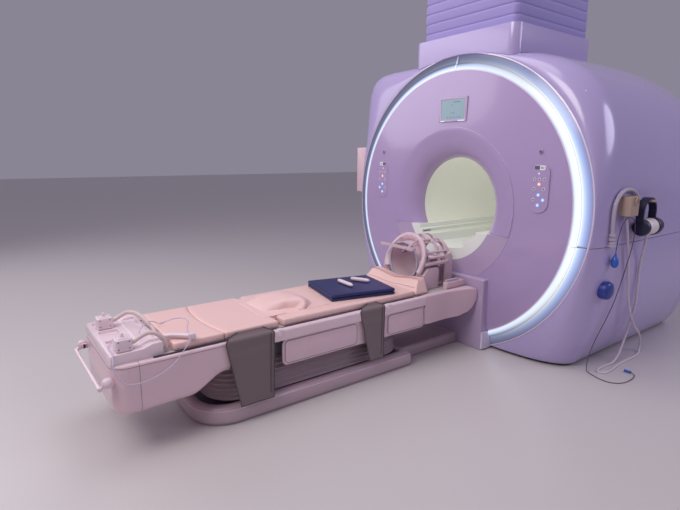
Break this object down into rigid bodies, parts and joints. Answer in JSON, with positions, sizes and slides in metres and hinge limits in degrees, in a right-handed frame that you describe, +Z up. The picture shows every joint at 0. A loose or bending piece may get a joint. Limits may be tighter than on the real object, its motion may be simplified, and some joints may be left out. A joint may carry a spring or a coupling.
{
  "type": "mri scanner",
  "caption": "Wide-bore MRI scanner: gantry with a ring light round its flared mouth, and a docked couch with mattress, cushions and head coil.",
  "frame": {"origin": "centre of the floor anchor pattern, on the floor under the magnet's centre", "axes": "+Z up, +Y along the bore from the couch into the gantry, +X to the right of someone facing the mouth"},
  "size_m": [2.4746, 4.246, 2.5504],
  "materials": {
    "cover_white": "gloss",
    "lens_white": "gloss",
    "trim_lavender": "satin",
    "bore_pale": "gloss",
    "display_glass": "gloss",
    "housing_grey": "satin",
    "vessel_paint": "satin",
    "resin_brown": "satin",
    "cold_head_metal": "satin",
    "frame_paint": "satin",
    "tube_steel": "satin",
    "rail_aluminium": "satin",
    "board_grey": "satin",
    "bellows_grey": "satin",
    "vinyl_beige": "satin",
    "pad_navy": "satin",
    "strap_grey": "matte",
    "cable_beige": "satin",
    "cord_black": "satin",
    "hose_white": "satin",
    "bulb_blue": "satin",
    "knob_navy": "satin",
    "box_tan": "satin",
    "tube_grey": "satin",
    "duct_fabric": "matte",
    "skirt_dark": "matte",
    "mirror_glass": "polished",
    "coil_white": "gloss"
  },
  "bodies": {
    "base": {"magnet_vessel": "vessel_paint", "magnet_feet": "frame_paint", "gradient_coil": "resin_brown", "body_coil": "resin_brown", "cold_head": "cold_head_metal", "bore_liner": "bore_pale", "front_flare": "cover_white", "face_cover": "cover_white", "table_gate": "trim_lavender", "table_bridge": "bore_pale", "ring_light": "lens_white", "ring_channel": "trim_lavender", "dock_pillar": "trim_lavender", "base_skirt": "skirt_dark", "upper_cover": "cover_white", "side_cover_left": "cover_white", "side_cover_right": "cover_white", "rear_cover": "cover_white", "turret_cover": "cover_white", "duct_shroud": "duct_fabric", "display_housing": "housing_grey", "display_screen": "display_glass", "keypads": "cover_white", "side_box": "cover_white", "holder_box": "box_tan", "headset": "knob_navy", "call_bulb": "bulb_blue", "side_knob": "knob_navy", "air_tube": "tube_grey", "headset_hose": "hose_white", "call_tube": "cord_black", "plinth": "housing_grey", "link_bar": "housing_grey", "bellows": "bellows_grey", "lift_outer_tubes": "tube_steel"},
    "couch": {"lift_inner_tubes": "tube_steel", "couch_frame": "frame_paint", "foot_housing": "housing_grey", "end_cap": "housing_grey", "side_rails": "rail_aluminium", "side_skirts": "housing_grey", "head_arms": "housing_grey", "straps": "strap_grey"},
    "lift_mid": {"lift_middle_tubes": "tube_steel"},
    "table": {"tabletop": "board_grey", "port_box": "coil_white", "coil_plugs": "coil_white", "plug_cables": "cable_beige", "sensor_lead": "hose_white", "mattress_foot": "vinyl_beige", "mattress_mid": "vinyl_beige", "mattress_head": "vinyl_beige", "collar_pad": "vinyl_beige", "wedge_cushion": "vinyl_beige", "folded_pad": "pad_navy", "hand_pads": "coil_white", "coil_base": "coil_white", "coil_top": "coil_white"},
    "mirror": {"coil_mirror": "mirror_glass"},
    "handle": {"release_handle": "housing_grey"}
  },
  "joints": [
    {"name": "couch_lift", "type": "slide", "parent": "base", "child": "couch", "axis": [0, 0, 1], "range_m": [0, 0.385], "deforming": ["bellows"]},
    {"name": "stage_slide", "type": "slide", "parent": "base", "child": "lift_mid", "axis": [0, 0, 1], "range_m": [0, 0.1925]},
    {"name": "tabletop_slide", "type": "slide", "parent": "couch", "child": "table", "axis": [0, 1, 0], "range_m": [0, 0.04]},
    {"name": "mirror_hinge", "type": "hinge", "parent": "table", "child": "mirror", "pos_m": [0, -1.34, 0.745], "axis": [1, 0, 0], "range_deg": [-40, 20]},
    {"name": "handle_hinge", "type": "hinge", "parent": "couch", "child": "handle", "pos_m": [0, -3.333, 0.388], "axis": [-1, 0, 0], "range_deg": [0, 30]}
  ],
  "couplings": [
    {"joint": "stage_slide", "follows": "couch_lift", "ratio": 0.5}
  ]
}
